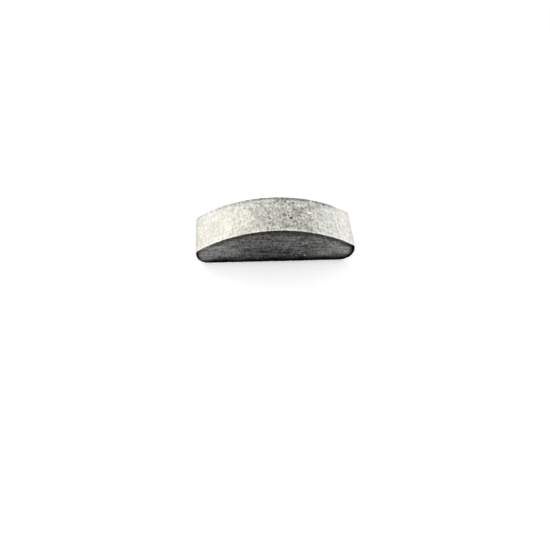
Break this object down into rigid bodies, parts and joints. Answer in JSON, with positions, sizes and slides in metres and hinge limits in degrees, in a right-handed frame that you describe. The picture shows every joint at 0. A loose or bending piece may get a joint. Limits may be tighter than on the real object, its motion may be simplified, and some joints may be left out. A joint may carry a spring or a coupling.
{
  "type": "crankshaft key",
  "caption": "Shallow steel segment key that locks a flywheel or sprocket to a crankshaft, with a round crown, a flat underside and flat parallel drive faces.",
  "frame": {"origin": "centre of the flat underside, which the key lies on", "axes": "+X along the key's length, +Y across its width from one drive face to the other, +Z from the flat to the top of the crown"},
  "size_m": [0.016, 0.005, 0.0045],
  "materials": {
    "steel": "hardened and tumbled steel, with a bare light rim and darker oxide on the rolled drive faces"
  },
  "bodies": {
    "root": {"key": "steel"}
  },
  "joints": []
}
